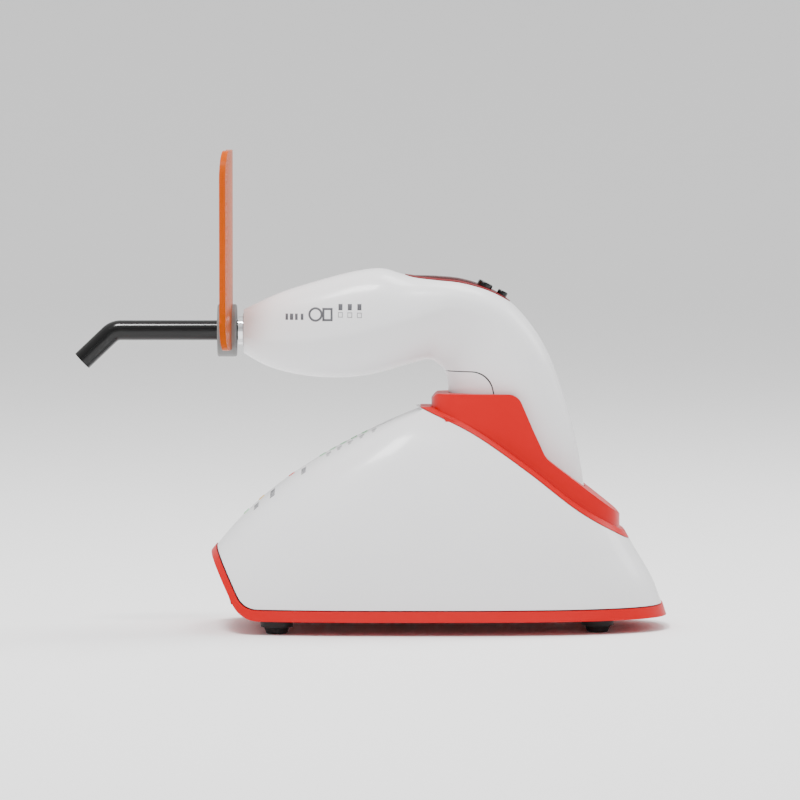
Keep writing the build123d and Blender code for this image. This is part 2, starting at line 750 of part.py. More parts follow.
for name, (_, size) in BUTTONS.items():
    with BuildPart() as button:
        with BuildSketch(button_plane(name, BUTTON_PROUD)):
            SlotOverall(size[1], size[0], rotation=90)
        extrude(amount=-BUTTON_PROUD - 5.9)
        outwards = Axis(button_plane(name).origin, button_plane(name).z_dir)
        fillet(button.faces().sort_by(outwards)[-1].edges(), 0.6)
        with BuildSketch(button_plane(name, -BUTTON_SKIRT)):
            SlotOverall(size[1] + 1.6, size[0] + 0.9, rotation=90)
        extrude(amount=-0.8)
    finish(button, f"{name}_button")

    with BuildPart() as switch:
        with BuildSketch(button_plane(name, -SWITCH_FOOT)):
            Rectangle(4.2, 6.0)
        extrude(amount=SWITCH_FOOT - SWITCH_TOP - 1.0)
        with BuildSketch(button_plane(name, -SWITCH_TOP)):
            Circle(1.4)
        extrude(amount=-1.0)
    finish(switch, f"{name}_switch")

CELL_TOP, CELL_FOOT, CELL_R = (58.0, 0, 97.5), (69.2, 0, 48.8), 9.1
cell_way = (Vector(*CELL_TOP) - Vector(*CELL_FOOT)).normalized()
cell_foot = Plane(origin=CELL_FOOT, x_dir=(0, 1, 0), z_dir=cell_way)
CELL_LENGTH = (Vector(*CELL_TOP) - Vector(*CELL_FOOT)).length
with BuildPart() as battery_cell:
    with BuildSketch(cell_foot):
        Circle(CELL_R)
    extrude(amount=CELL_LENGTH)
    with BuildSketch(cell_foot.offset(CELL_LENGTH)):
        Circle(3.0)
    extrude(amount=1.2)
finish(battery_cell, "battery_cell")

with BuildPart() as battery_plate_contact:
    with BuildSketch(cell_foot.offset(CELL_LENGTH + 1.2)):
        RectangleRounded(12, 10, 1.5)
    extrude(amount=0.8)
finish(battery_plate_contact, "battery_plate_contact")

with BuildPart() as battery_spring_contact:
    with BuildSketch(cell_foot):
        Circle(5.0)
    with BuildSketch(cell_foot.offset(-2.6)):
        Circle(2.6)
    loft()
finish(battery_spring_contact, "battery_spring_contact")

with BuildPart() as charge_pads:
    with Locations((CONTACT_X, CONTACT_Y, PIN_TOP + 0.05)):
        Cylinder(2.9, 2.4, align=(Align.CENTER, Align.CENTER, Align.MIN))
    with Locations((CONTACT_X, CONTACT_Y, 42.21)):
        Cylinder(3.6, 0.7, align=(Align.CENTER, Align.CENTER, Align.MIN))
    mirror(about=Plane.XZ)
finish(charge_pads, "charge_pads")

with BuildPart() as cover_screw:
    with Locations((COVER_SCREW_X, 0, 41.1)):
        Cylinder(2.3, 0.9, align=(Align.CENTER, Align.CENTER, Align.MAX))
        Cylinder(1.1, 3.2, align=(Align.CENTER, Align.CENTER, Align.MIN))
    with Locations((COVER_SCREW_X, 0, 40.2)):
        Cylinder(0.9, 1.0, mode=Mode.SUBTRACT)
finish(cover_screw, "cover_screw")

with BuildPart() as cover_nut:
    with Locations((COVER_SCREW_X, 0, 42.21)):
        Box(5, 9, 2.0, align=(Align.CENTER, Align.CENTER, Align.MIN))
        Cylinder(1.1, 6, mode=Mode.SUBTRACT)
finish(cover_nut, "cover_nut")

# ---------------------------------------------------------------- light guide

RING_X, RING_WIDTH = -46.0, 1.6
with BuildPart() as guide_o_ring:
    with BuildSketch(axis_plane(RING_X)):
        Circle(FERRULE_R + 0.02)
        Circle(FERRULE_R - 0.72, mode=Mode.SUBTRACT)
    extrude(amount=RING_WIDTH / 2, both=True)
    fillet(guide_o_ring.edges(), 0.25)
finish(guide_o_ring, "guide_o_ring")

with BuildPart() as guide_ferrule:
    with BuildSketch(axis_plane(GUIDE_END_X, towards=-1)):
        Circle(FERRULE_R)
    extrude(amount=GUIDE_END_X - NOSE_X + 1)
    with BuildSketch(axis_plane(NOSE_X - 0.4, towards=-1)):
        Circle(FLANGE_R)
    extrude(amount=1.9)
    with BuildSketch(axis_plane(RING_X)):
        Circle(FERRULE_R + 1)
        Circle(FERRULE_R - 0.8, mode=Mode.SUBTRACT)
    extrude(amount=RING_WIDTH / 2 + 0.1, both=True, mode=Mode.SUBTRACT)
    with BuildSketch(axis_plane(GUIDE_END_X, towards=-1)):
        Circle(GUIDE_R)
    extrude(amount=40, mode=Mode.SUBTRACT)
finish(guide_ferrule, "guide_ferrule")

tip_way = (-math.cos(math.radians(BEND_ANGLE)), -math.sin(math.radians(BEND_ANGLE)))
tip_end = (BEND_X + TIP_LENGTH * tip_way[0], GUIDE_Z + TIP_LENGTH * tip_way[1])
for name, radius, bore in (("guide_jacket", GUIDE_R, CORE_R), ("guide_core", CORE_R, 0)):
    with BuildPart() as guide:
        with BuildLine(Plane.XZ) as guide_path:
            FilletPolyline((GUIDE_END_X, GUIDE_Z), (BEND_X, GUIDE_Z), tip_end, radius=BEND_RADIUS)
        with BuildSketch(axis_plane(GUIDE_END_X, towards=-1)):
            Circle(radius)
            if bore:
                Circle(bore, mode=Mode.SUBTRACT)
        sweep(path=guide_path.line)
    finish(guide, name)

# ---------------------------------------------------------------- eye shield

with BuildPart() as shield_plate:
    with Locations((SHIELD_X - SHIELD_DISH_R, 0, (SHIELD_BOTTOM + SHIELD_TOP) / 2)):
        Cylinder(SHIELD_DISH_R, FAR)
        Cylinder(SHIELD_DISH_R - SHIELD_THICKNESS, FAR, mode=Mode.SUBTRACT)
    with BuildPart(mode=Mode.PRIVATE) as shield_outline:
        with BuildSketch(axis_plane(SHIELD_X - 12, (SHIELD_BOTTOM + SHIELD_TOP) / 2)) as outline:
            Rectangle(2 * SHIELD_HALF_WIDTH, SHIELD_TOP - SHIELD_BOTTOM)
            corners = outline.vertices().group_by(Axis.Z)
            fillet(corners[0], SHIELD_CORNERS[0])
            fillet(corners[-1], SHIELD_CORNERS[1])
        extrude(amount=20)
    add(shield_outline.part, mode=Mode.INTERSECT)
    with BuildSketch(axis_plane(SHIELD_X - 12)):
        Circle(GROMMET_NECK_R)
    extrude(amount=20, mode=Mode.SUBTRACT)
finish(shield_plate, "shield_plate")

with BuildPart() as shield_grommet:
    with BuildSketch(axis_plane(GROMMET_X[0])):
        Circle(GROMMET_R)
    extrude(amount=GROMMET_X[1] - GROMMET_X[0])
    fillet(shield_grommet.edges(), 0.8)
    with BuildSketch(axis_plane(GROMMET_X[0] - 1)):
        Circle(GUIDE_R + 0.08)
    extrude(amount=12, mode=Mode.SUBTRACT)
    add(shield_plate.part, mode=Mode.SUBTRACT)
finish(shield_grommet, "shield_grommet")
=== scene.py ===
"""Looks of a dental curing light in its charging base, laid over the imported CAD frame.

The light guide, eye shield, buttons, feet, inlet and lamps are the CAD's own solids with better
materials. The moulded skins (grip housing, battery cover, base, tray, cradle collar) are built here
as smooth swept forms, cut along the same parting lines as the CAD, and each stands for its CAD node.
"""

import math

import bmesh
import bpy
import numpy as np
from mathutils import Matrix, Vector
from mathutils.bvhtree import BVHTree


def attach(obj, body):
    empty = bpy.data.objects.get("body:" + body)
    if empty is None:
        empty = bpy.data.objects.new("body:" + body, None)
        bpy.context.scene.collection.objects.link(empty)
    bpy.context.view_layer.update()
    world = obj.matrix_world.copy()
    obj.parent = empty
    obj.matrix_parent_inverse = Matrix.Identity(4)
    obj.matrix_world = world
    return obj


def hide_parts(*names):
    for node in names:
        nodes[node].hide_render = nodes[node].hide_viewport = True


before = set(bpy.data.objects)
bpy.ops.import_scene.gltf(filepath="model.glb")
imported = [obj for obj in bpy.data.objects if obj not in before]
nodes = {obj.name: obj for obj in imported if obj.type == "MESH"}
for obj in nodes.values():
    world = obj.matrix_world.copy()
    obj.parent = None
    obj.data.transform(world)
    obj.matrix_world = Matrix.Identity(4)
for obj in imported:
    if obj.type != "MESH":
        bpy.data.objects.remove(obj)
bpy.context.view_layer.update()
MM = 0.001

# ---------------------------------------------------------------- dimensions, in millimetres

# handpiece sections from nose to foot: (x, z) underneath or in front, (x, z) on top or behind,
# half of the width, and where the styling crease runs (0 underneath, 1 on top)
HANDPIECE = [
    ((-52.9, 115.1), (-52.9, 133.5), 9.2, 0.40),
    ((-45.4, 110.7), (-47.0, 136.3), 13.2, 0.40),
    ((-35.7, 107.3), (-37.0, 140.7), 16.6, 0.40),
    ((-21.0, 105.0), (-21.0, 145.7), 19.4, 0.41),
    ((-6.3, 105.2), (-5.5, 149.6), 20.4, 0.43),
    ((4.2, 107.1), (5.5, 150.6), 20.5, 0.46),
    ((12.6, 109.6), (15.5, 147.9), 20.3, 0.52),
    ((20.2, 111.7), (27.3, 147.4), 20.0, 0.58),
    ((25.2, 112.4), (38.6, 146.2), 19.5, 0.66),
    ((28.6, 110.7), (50.4, 142.2), 19.0, 0.70),
    ((30.7, 108.8), (59.6, 136.0), 18.5, 0.70),
    ((32.1, 105.4), (68.0, 126.6), 18.0, 0.67),
    ((32.8, 101.6), (74.8, 115.1), 17.6, 0.64),
    ((33.2, 98.3), (80.6, 99.5), 17.2, 0.60),
    ((39.1, 80.0), (86.2, 80.0), 16.8, 0.55),
    ((46.0, 59.0), (89.9, 59.0), 16.4, 0.50),
    ((52.2, 40.0), (91.3, 40.0), 16.0, 0.50),
]
UPPER_ROUNDNESS = 2.35
GRIP_EDGE, END_STEPS = 1.6, 5  # rounding of the grip's foot

# base levels: height, foremost x, rearmost x, half of the width
BASE = [
    (5.8, -84.0, 124.0, 46.5),
    (20.0, -75.5, 118.9, 46.3),
    (34.0, -64.7, 110.8, 45.0),
    (47.0, -53.3, 103.5, 42.0),
    (60.0, -38.4, 96.5, 37.5),
    (72.0, -20.4, 89.0, 32.0),
    (82.0, -1.8, 80.0, 25.5),
    (89.0, 13.3, 70.0, 18.5),
    (93.0, 24.5, 60.0, 12.0),
]
BASE_WIDEST_X = 22.0
BASE_ROUNDNESS = 2.8
BASE_LOWER_REACH = 0.12  # share of the lowest step that the dome goes on below its first level
TRAY_UNDER, TRAY_TOP = 5.8, 10.3
FRONT_SLOPE = math.radians(64.2)
TRAY_CORNER = (-53.7, TRAY_UNDER)
SEAM_CORNER = (-52.7, TRAY_TOP)
SEAM_GAP = 0.45
SEAT = [(23.5, 91.6), (42.6, 82.5), (65.1, 67.2), (87.6, 49.9), (107.5, 38.2)]
FLANGE = 2.4
COLLAR_TOP = 98.6
COLLAR_HALF_WIDTH = 20.9
COLLAR_X = (25.8, 62.0, 104.8)
COLLAR_DRAFT = math.radians(8.0)
COLLAR_ROUNDNESS = 3.0
LINER = [(26.4, 103.0), (48.3, 36.5), (94.8, 36.5), (94.8, 60.0), (84.0, 103.0)]
LINER_HALF_WIDTH = 20.4
COVER_LINE = [(12.0, 108.0), (50.0, 108.0), (68.5, 20.0)]
COVER_CORNER = 9.0
PANEL_X = (15.0, 58.5)
PANEL_HALF_WIDTH = 10.6
PANEL_ROUNDNESS, PANEL_AROUND = 2.2, 64
PANEL_SPACE = (128.0, 165.0)  # heights that the panel's cutting block spans
SKIN_ANGLE = 32  # degrees; faces that meet at more than this keep a sharp edge
# the dark fillers are painted shade: seen through the seam gaps, they stand for the shade inside the parts
CORE_DEPTH = 1.2  # how far the dark fillers lie under the skins

# ---------------------------------------------------------------- geometry helpers


def curve_through(rows, count):
    """A smooth table with count rows, running through the given rows (Catmull-Rom)."""
    rows = np.asarray(rows, float)
    steps = np.concatenate([[0], np.cumsum(np.linalg.norm(np.diff(rows[:, :4], axis=0), axis=1) ** 0.5)])
    slopes = np.gradient(rows, steps, axis=0)
    out = []
    for t in np.linspace(0, steps[-1], count):
        k = min(np.searchsorted(steps, t, side="right") - 1, len(steps) - 2)
        h = steps[k + 1] - steps[k]
        u = (t - steps[k]) / h
        out.append(
            rows[k] * (2 * u**3 - 3 * u**2 + 1)
            + rows[k + 1] * (3 * u**2 - 2 * u**3)
            + slopes[k] * h * (u**3 - 2 * u**2 + u)
            + slopes[k + 1] * h * (u**3 - u**2)
        )
    return np.array(out)


def mesh_object(name, points, faces, smooth=30):
    """An object from points in millimetres."""
    mesh = bpy.data.meshes.new(name)
    mesh.from_pydata([tuple(p) for p in np.asarray(points) * MM], [], faces)
    mesh.validate()
    mesh.update()
    obj = bpy.data.objects.new(name, mesh)
    bpy.context.scene.collection.objects.link(obj)
    soften(obj, smooth)
    return obj


def soften(obj, degrees):
    """Shades smooth, with a sharp crease wherever faces meet at more than that angle."""
    for polygon in obj.data.polygons:
        polygon.use_smooth = True
    obj.data.set_sharp_from_angle(angle=math.radians(degrees))


def skin(name, rings, smooth=30):
    """A closed solid through rings of points, with its two ends capped."""
    rings = np.asarray(rings)
    levels, around = rings.shape[:2]
    points = [p for ring in rings for p in ring]
    points += [rings[0].mean(axis=0), rings[-1].mean(axis=0)]
    faces = []
    for i in range(levels - 1):
        for j in range(around):
            k = (j + 1) % around
            faces.append((i * around + j, i * around + k, (i + 1) * around + k, (i + 1) * around + j))
    first, last = len(points) - 2, len(points) - 1
    for j in range(around):
        k = (j + 1) % around
        faces.append((first, k, j))
        faces.append((last, (levels - 1) * around + j, (levels - 1) * around + k))
    obj = mesh_object(name, points, faces, smooth)
    fix_normals(obj)
    return obj


def fix_normals(obj):
    """Turns a closed mesh the right way out."""
    work = bmesh.new()
    work.from_mesh(obj.data)
    bmesh.ops.recalc_face_normals(work, faces=work.faces)
    work.to_mesh(obj.data)
    work.free()


def prism(name, outline, y_low, y_high):
    """A closed block: an outline in x and z, carried from y_low to y_high."""
    count = len(outline)
    points = [(x, y, z) for y in (y_low, y_high) for x, z in outline]
    faces = [tuple(range(count)), tuple(range(2 * count - 1, count - 1, -1))]
    for j in range(count):
        k = (j + 1) % count
        faces.append((j, count + j, count + k, k))
    obj = mesh_object(name, points, faces)
    fix_normals(obj)
    return obj


def boolean(obj, tool, operation):
    """Cuts, joins or intersects obj with tool, and tidies the tool away."""
    modifier = obj.modifiers.new("cut", "BOOLEAN")
    modifier.operation = operation
    modifier.solver = "EXACT"
    modifier.object = tool
    bpy.context.view_layer.update()
    depsgraph = bpy.context.evaluated_depsgraph_get()
    mesh = bpy.data.meshes.new_from_object(obj.evaluated_get(depsgraph))
    obj.modifiers.clear()
    old = obj.data
    obj.data = mesh
    bpy.data.meshes.remove(old)
    bpy.data.objects.remove(tool)
    return obj


def rounded(points, radius, count=8):
    """An open line in a plane with its inner corners rounded by arcs of that radius."""
    points = [Vector(p) for p in points]
    out = [points[0]]
    for before, corner, after in zip(points, points[1:], points[2:]):
        a, b = (before - corner).normalized(), (after - corner).normalized()
        half = a.angle(b) / 2
        start = radius / math.tan(half)
        centre = corner + (a + b).normalized() * radius / math.sin(half)
        first, last = corner + a * start - centre, corner + b * start - centre
        sweep = first.angle_signed(last)
        for k in range(count + 1):
            turned = Matrix.Rotation(-sweep * k / count, 2) @ first
            out.append(centre + turned)
    out.append(points[-1])
    return [tuple(p) for p in out]


def superellipse(angle, front, back, half, roundness):
    """A point of a superellipse: angle 0 is its reach along +x, 90 degrees its half-width."""
    c, s = math.cos(angle), math.sin(angle)
    reach = back if c > 0 else front
    return (
        math.copysign(reach * abs(c) ** (2 / roundness), c),
        math.copysign(half * abs(s) ** (2 / roundness), s),
    )


# ---------------------------------------------------------------- handpiece forms

AROUND, ALONG = 96, 120
handpiece_rows = curve_through([(*low, *high, half, crease) for low, high, half, crease in HANDPIECE], ALONG)


def section_side(share, half, crease):
    """Half of the width at a share of the height: full at the crease, closing above and below."""
    if share >= crease:
        run = (share - crease) / (1 - crease)
        return half * max(0.0, 1 - run**UPPER_ROUNDNESS) ** (1 / UPPER_ROUNDNESS)
    run = (crease - share) / crease
    return half * max(0.0, 1 - 0.52 * run - 0.48 * run**3.0) ** 0.6


def handpiece_rings(grow=0.0, sides=(-1, 1), split=0.0):
    """Rings of the handpiece's skin, grown outwards; with one side only, closed near y = 0."""
    rings = []
    for low_x, low_z, high_x, high_z, half, crease in handpiece_rows:
        across = np.array([high_x - low_x, 0, high_z - low_z])
        height = np.linalg.norm(across)
        across /= height
        middle = np.array([(high_x + low_x) / 2, 0, (high_z + low_z) / 2])
        ring = []
        count = AROUND // 2
        for side in sides:
            for k in range(count + (1 if len(sides) == 1 else 0)):
                turn = math.pi * k / count
                if side > 0 and len(sides) == 2:
                    turn = math.pi - turn
                share = (1 - math.cos(turn)) / 2
                width = section_side(share, half, crease) if 0 < k < count or len(sides) == 1 else 0.0
                width = width + grow * math.sin(turn) if width > 0 else 0.0
                along = (share - 0.5) * height + grow * -math.cos(turn)
                point = middle + across * along
                point[1] = side * max(width, split)
                ring.append(point)
        rings.append(ring)
    return np.array(rings)


def close_ends(rings):
    """Rounds the foot of a skin, so that it ends in a soft edge and a flat cap."""
    centre = rings[-1].mean(axis=0)
    span = np.abs(rings[-1] - centre).max()
    tail = []
    for k in range(1, END_STEPS + 1):
        turn = k / END_STEPS * math.pi / 2
        ring = centre + (rings[-1] - centre) * (1 - GRIP_EDGE * (1 - math.cos(turn)) / span)
        ring[:, 2] = rings[-1][:, 2] + GRIP_EDGE - GRIP_EDGE * math.sin(turn)
        tail.append(ring)
    body = rings.copy()
    body[-1][:, 2] += GRIP_EDGE
    return np.concatenate([body, tail])


def leaf_prism(name, margin):
    """A tall block with the display panel's outline."""
    middle = sum(PANEL_X) / 2
    length = (PANEL_X[1] - PANEL_X[0]) / 2 + margin
    outline = []
    for k in range(PANEL_AROUND):
        turn = 2 * math.pi * k / PANEL_AROUND
        x, y = superellipse(turn, length, length, PANEL_HALF_WIDTH + margin, PANEL_ROUNDNESS)
        outline.append((x + middle, y))
    points = [(x, y, z) for z in PANEL_SPACE for x, y in outline]
    faces = [tuple(range(PANEL_AROUND - 1, -1, -1)), tuple(range(PANEL_AROUND, 2 * PANEL_AROUND))]
    for j in range(PANEL_AROUND):
        k = (j + 1) % PANEL_AROUND
        faces.append((j, k, PANEL_AROUND + k, PANEL_AROUND + j))
    obj = mesh_object(name, points, faces)
    fix_normals(obj)
    return obj


def cover_prism(name, shift):
    """The space of the battery cover, with its parting line moved outwards by shift."""
    line = [(x + (shift if k == 2 else 0) + (shift if k == 1 else 0), z + (shift if k < 2 else 0))
            for k, (x, z) in enumerate(COVER_LINE)]
    outline = rounded(line, COVER_CORNER)
    return prism(name, outline + [(12.0, 20.0)], -40, 40)


# ---------------------------------------------------------------- base forms

BASE_AROUND, BASE_LEVELS = 144, 72


def base_rings(grow=0.0):
    """Rings of the base's dome, from under its tray to above its seat."""
    rows = np.array(BASE, float)
    lowest = rows[0] + (rows[0] - rows[1]) * BASE_LOWER_REACH
    rows = np.vstack([[lowest], rows])
    rings = []
    for z, front, back, half in curve_through(rows, BASE_LEVELS):
        ring = []
        for k in range(BASE_AROUND):
            turn = 2 * math.pi * k / BASE_AROUND
            x, y = superellipse(
                turn, BASE_WIDEST_X - front + grow, back - BASE_WIDEST_X + grow, half + grow, BASE_ROUNDNESS
            )
            ring.append((x + BASE_WIDEST_X, y, z))
        rings.append(ring)
    return np.array(rings)


def seat_prism(name, rise, top=220.0):
    """The space above the collar's curved seat, raised by rise."""
    line = curve_through(np.array(SEAT), 24)
    outline = [(x, z + rise) for x, z in line]
    outline = [(-1.5, SEAT[0][1] + 12 + rise), *outline, (140.0, 20.0 + rise), (140.0, top), (-1.5, top)]
    return prism(name, outline, -80, 80)


def front_prism(name, corner, radius, shift=0.0):
    """The space above the tray line and behind the sloping front, moved outwards by shift."""
    run = (-70.0 * math.cos(FRONT_SLOPE), 70.0 * math.sin(FRONT_SLOPE))
    x = corner[0] - shift / math.tan(FRONT_SLOPE / 2) * 0.6
    line = [(x + run[0], corner[1] - shift + run[1]), (x, corner[1] - shift), (180.0, corner[1] - shift)]
    return prism(name, rounded(line, radius) + [(180.0, 160.0), (x + run[0], 160.0)], -80, 80)


# ---------------------------------------------------------------- materials


SHEEN = 0.22  # how strongly the plastics mirror their surroundings


def surface(name, color, roughness=0.3, metallic=0.0, coat=0.0, grain=900.0, bump=0.04,
            vary=0.02, transmission=0.0, ior=1.48, subsurface=0.0):
    """A procedural finish: a fine moulded grain, and a slow drift in colour and gloss."""
    material = bpy.data.materials.new(name)
    material.use_nodes = True
    tree = material.node_tree
    shader = tree.nodes["Principled BSDF"]
    place = tree.nodes.new("ShaderNodeTexCoord")
    drift = tree.nodes.new("ShaderNodeTexNoise")
    drift.inputs["Scale"].default_value = 35.0
    drift.inputs["Detail"].default_value = 3.0
    fine = tree.nodes.new("ShaderNodeTexNoise")
    fine.inputs["Scale"].default_value = grain
    fine.inputs["Detail"].default_value = 2.0
    tree.links.new(place.outputs["Object"], drift.inputs["Vector"])
    tree.links.new(place.outputs["Object"], fine.inputs["Vector"])
    tint = tree.nodes.new("ShaderNodeMix")
    tint.data_type = "RGBA"
    tint.inputs["A"].default_value = (*[c * (1 - vary) for c in color], 1)
    tint.inputs["B"].default_value = (*[min(1.0, c * (1 + vary)) for c in color], 1)
    tree.links.new(drift.outputs["Fac"], tint.inputs["Factor"])
    tree.links.new(tint.outputs["Result"], shader.inputs["Base Color"])
    gloss = tree.nodes.new("ShaderNodeMapRange")
    gloss.inputs["To Min"].default_value = roughness * 0.88
    gloss.inputs["To Max"].default_value = roughness * 1.12
    tree.links.new(fine.outputs["Fac"], gloss.inputs["Value"])
    tree.links.new(gloss.outputs["Result"], shader.inputs["Roughness"])
    relief = tree.nodes.new("ShaderNodeBump")
    relief.inputs["Strength"].default_value = bump
    relief.inputs["Distance"].default_value = 0.0002
    tree.links.new(fine.outputs["Fac"], relief.inputs["Height"])
    tree.links.new(relief.outputs["Normal"], shader.inputs["Normal"])
    shader.inputs["Metallic"].default_value = metallic
    shader.inputs["IOR"].default_value = ior
    shader.inputs["Coat Weight"].default_value = coat
    shader.inputs["Coat Roughness"].default_value = 0.06
    shader.inputs["Transmission Weight"].default_value = transmission
    if not metallic:
        shader.inputs["Specular IOR Level"].default_value = SHEEN
    shader.inputs["Subsurface Weight"].default_value = subsurface
    if subsurface:
        shader.inputs["Subsurface Radius"].default_value = (0.004, 0.003, 0.003)
        shader.inputs["Subsurface Scale"].default_value = 0.5
    return material


SHELL_WHITE = surface("shell_white", (0.78, 0.78, 0.79), 0.26, coat=0.12, bump=0.03)
GRIP_WHITE = surface("grip_white", (0.78, 0.78, 0.79), 0.26, coat=0.12, bump=0.03)
TRAY_RED = surface("tray_red", (0.50, 0.0, 0.002), 0.36)
COLLAR_RED = surface("collar_red", (0.50, 0.0, 0.002), 0.36)
# painted shade: a dark filler colour that stands for the shade inside the seam gaps
PAINTED_SEAM_SHADE = surface("painted_seam_shade", (0.06, 0.06, 0.065), 0.6)
BLACK_RUBBER = surface("black_rubber", (0.018, 0.018, 0.018), 0.55, grain=1600, bump=0.25, vary=0.15)
GREY_RUBBER = surface("grey_rubber", (0.17, 0.17, 0.168), 0.5, grain=1500, bump=0.2, vary=0.06)
BLACK_GLOSS = surface("black_gloss", (0.002, 0.002, 0.002), 0.16, coat=0.25, bump=0.03, vary=0.1)
BLACK_MATT = surface("black_matt", (0.02, 0.02, 0.021), 0.42, grain=1400, bump=0.2, vary=0.12)
CHROME = surface("chrome", (0.78, 0.78, 0.79), 0.08, metallic=1.0, bump=0.02)
STEEL = surface("steel", (0.55, 0.55, 0.56), 0.30, metallic=1.0, grain=1200, bump=0.1)
ALUMINIUM = surface("aluminium", (0.72, 0.72, 0.73), 0.35, metallic=1.0, grain=1200, bump=0.1)
BRASS = surface("brass", (0.83, 0.62, 0.28), 0.22, metallic=1.0, bump=0.05)
BOARD = surface("board", (0.03, 0.20, 0.08), 0.45, grain=1500, bump=0.15, vary=0.15)
CLEAR = surface("clear", (0.92, 0.95, 0.96), 0.08, transmission=0.9, bump=0.01)
FIBRE = surface("fibre", (0.80, 0.81, 0.78), 0.15, grain=5200, bump=0.5, vary=0.25, coat=0.6)
SHIELD_ORANGE = surface("shield_orange", (0.66, 0.12, 0.002), 0.25, transmission=0.50, bump=0.01, ior=1.12)
DISPLAY_RED = surface("display_red", (0.045, 0.001, 0.002), 0.25, ior=1.15, bump=0.01, vary=0.12)
RIM_RED = surface("rim_red", (0.16, 0.002, 0.004), 0.45, bump=0.02)
LAMP_GREEN = surface("lamp_green", (0.30, 0.62, 0.36), 0.2, coat=0.6, subsurface=0.2, bump=0.02)
LAMP_AMBER = surface("lamp_amber", (0.78, 0.50, 0.14), 0.2, coat=0.6, subsurface=0.2, bump=0.02)
LAMP_RED = surface("lamp_red", (0.70, 0.10, 0.08), 0.2, coat=0.6, subsurface=0.2, bump=0.02)
PRINT_GREY = surface("print_grey", (0.10, 0.10, 0.11), 0.45, bump=0.02)
PRINT_PALE = surface("print_pale", (0.30, 0.30, 0.31), 0.45, bump=0.02)
CELL_BLUE = surface("cell_blue", (0.05, 0.12, 0.33), 0.35, bump=0.05, vary=0.1)


def paint(obj, *materials):
    """Gives an object its materials, in the order of its slots."""
    obj.data.materials.clear()
    for material in materials:
        obj.data.materials.append(material)
    return obj


def repaint(material, *names):
    """Gives CAD nodes a better material without touching their shape."""
    for name in names:
        obj = nodes[name]
        if not obj.material_slots:
            obj.data.materials.append(material)
        for held in obj.material_slots:
            held.link = "OBJECT"
            held.material = material


repaint(BLACK_RUBBER, "foot_front_left", "foot_front_right", "foot_rear_left", "foot_rear_right",
        "guide_o_ring")
repaint(GREY_RUBBER, "shield_grommet")
repaint(BLACK_GLOSS, "power_button", "mode_button", "guide_jacket")
repaint(BLACK_MATT, "dc_socket", "power_switch", "mode_switch", "buzzer", "contact_block", "meter_sensor",
        "display_module", "control_chips", "charger_coil")
repaint(CHROME, "nose_ring", "guide_ferrule", "dc_socket_pin")
repaint(STEEL, "ballast_plate", "ballast_screws", "tray_screws", "cover_screw", "cover_nut", "housing_studs",
        "contact_spring_left", "contact_spring_right", "battery_plate_contact", "battery_spring_contact")
repaint(ALUMINIUM, "heat_sink", "guide_socket", "charger_capacitors")
repaint(BRASS, "contact_pin_left", "contact_pin_right", "charge_pads")
repaint(BOARD, "charger_board", "control_board", "button_board", "meter_board", "status_board", "led_board")
repaint(CLEAR, "led_lens", "meter_window")
repaint(FIBRE, "guide_core", "led_emitter")
repaint(SHIELD_ORANGE, "shield_plate")
repaint(LAMP_GREEN, "ready_light", "level_lights")
repaint(LAMP_AMBER, "charge_light")
repaint(LAMP_RED, "error_light")
repaint(CELL_BLUE, "battery_cell")

# ---------------------------------------------------------------- handpiece

NOSE_BORE_R, BORE_AROUND = 7.45, 48
GUIDE_Z = 124.6


def nose_bore(name):
    """A cylinder that clears the nose ring and the guide's socket."""
    rings = []
    for x in (NOSE_FRONT - 4, NOSE_FRONT + 12):
        ring = []
        for k in range(BORE_AROUND):
            turn = 2 * math.pi * k / BORE_AROUND
            ring.append((x, NOSE_BORE_R * math.cos(turn), GUIDE_Z + NOSE_BORE_R * math.sin(turn)))
        rings.append(ring)
    return skin(name, np.array(rings))


NOSE_FRONT = HANDPIECE[0][0][0]
SPLIT = 0.10  # half of the gap between the two housing halves
for side, name in ((-1, "housing_left"), (1, "housing_right")):
    half = skin(f"look_{name}", close_ends(handpiece_rings(0, (side,), SPLIT)), SKIN_ANGLE)
    boolean(half, cover_prism("tool", 0.0), "DIFFERENCE")
    boolean(half, leaf_prism("tool", 0.35), "DIFFERENCE")
    boolean(half, nose_bore("tool"), "DIFFERENCE")
    soften(half, SKIN_ANGLE)
    paint(half, GRIP_WHITE)
    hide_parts(name)
    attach(half, "handpiece")

cover = skin("look_battery_cover", close_ends(handpiece_rings(0.0)), SKIN_ANGLE)
boolean(cover, cover_prism("tool", -SEAM_GAP), "INTERSECT")
soften(cover, SKIN_ANGLE)
paint(cover, GRIP_WHITE)
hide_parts("battery_cover")
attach(cover, "handpiece")

panel = skin("look_display_lens", handpiece_rings(0.18), SKIN_ANGLE)
boolean(panel, leaf_prism("tool", 0.0), "INTERSECT")
soften(panel, SKIN_ANGLE)
paint(panel, DISPLAY_RED)
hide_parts("display_lens")
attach(panel, "handpiece")

rim = skin("look_display_rim", handpiece_rings(0.30), SKIN_ANGLE)
boolean(rim, leaf_prism("tool", 0.30), "INTERSECT")
boolean(rim, leaf_prism("tool", -1.3), "DIFFERENCE")
soften(rim, SKIN_ANGLE)
paint(rim, RIM_RED)
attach(rim, "handpiece")

# A dark filler just under the handpiece skins: painted shade that shows through the seams between the
# housing halves and the cover.
core = skin("look_housing_core", close_ends(handpiece_rings(-CORE_DEPTH))[2:], SKIN_ANGLE)
boolean(core, nose_bore("tool"), "DIFFERENCE")
paint(core, PAINTED_SEAM_SHADE)
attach(core, "handpiece")

# ---------------------------------------------------------------- base

shell = skin("look_base_shell", base_rings(), SKIN_ANGLE)
boolean(shell, seat_prism("tool", 0.0), "DIFFERENCE")
boolean(shell, front_prism("tool", SEAM_CORNER, 9.0, -SEAM_GAP), "INTERSECT")
boolean(shell, prism("tool", LINER, -LINER_HALF_WIDTH, LINER_HALF_WIDTH), "DIFFERENCE")
soften(shell, SKIN_ANGLE)
paint(shell, SHELL_WHITE)
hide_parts("base_shell")
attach(shell, "base")

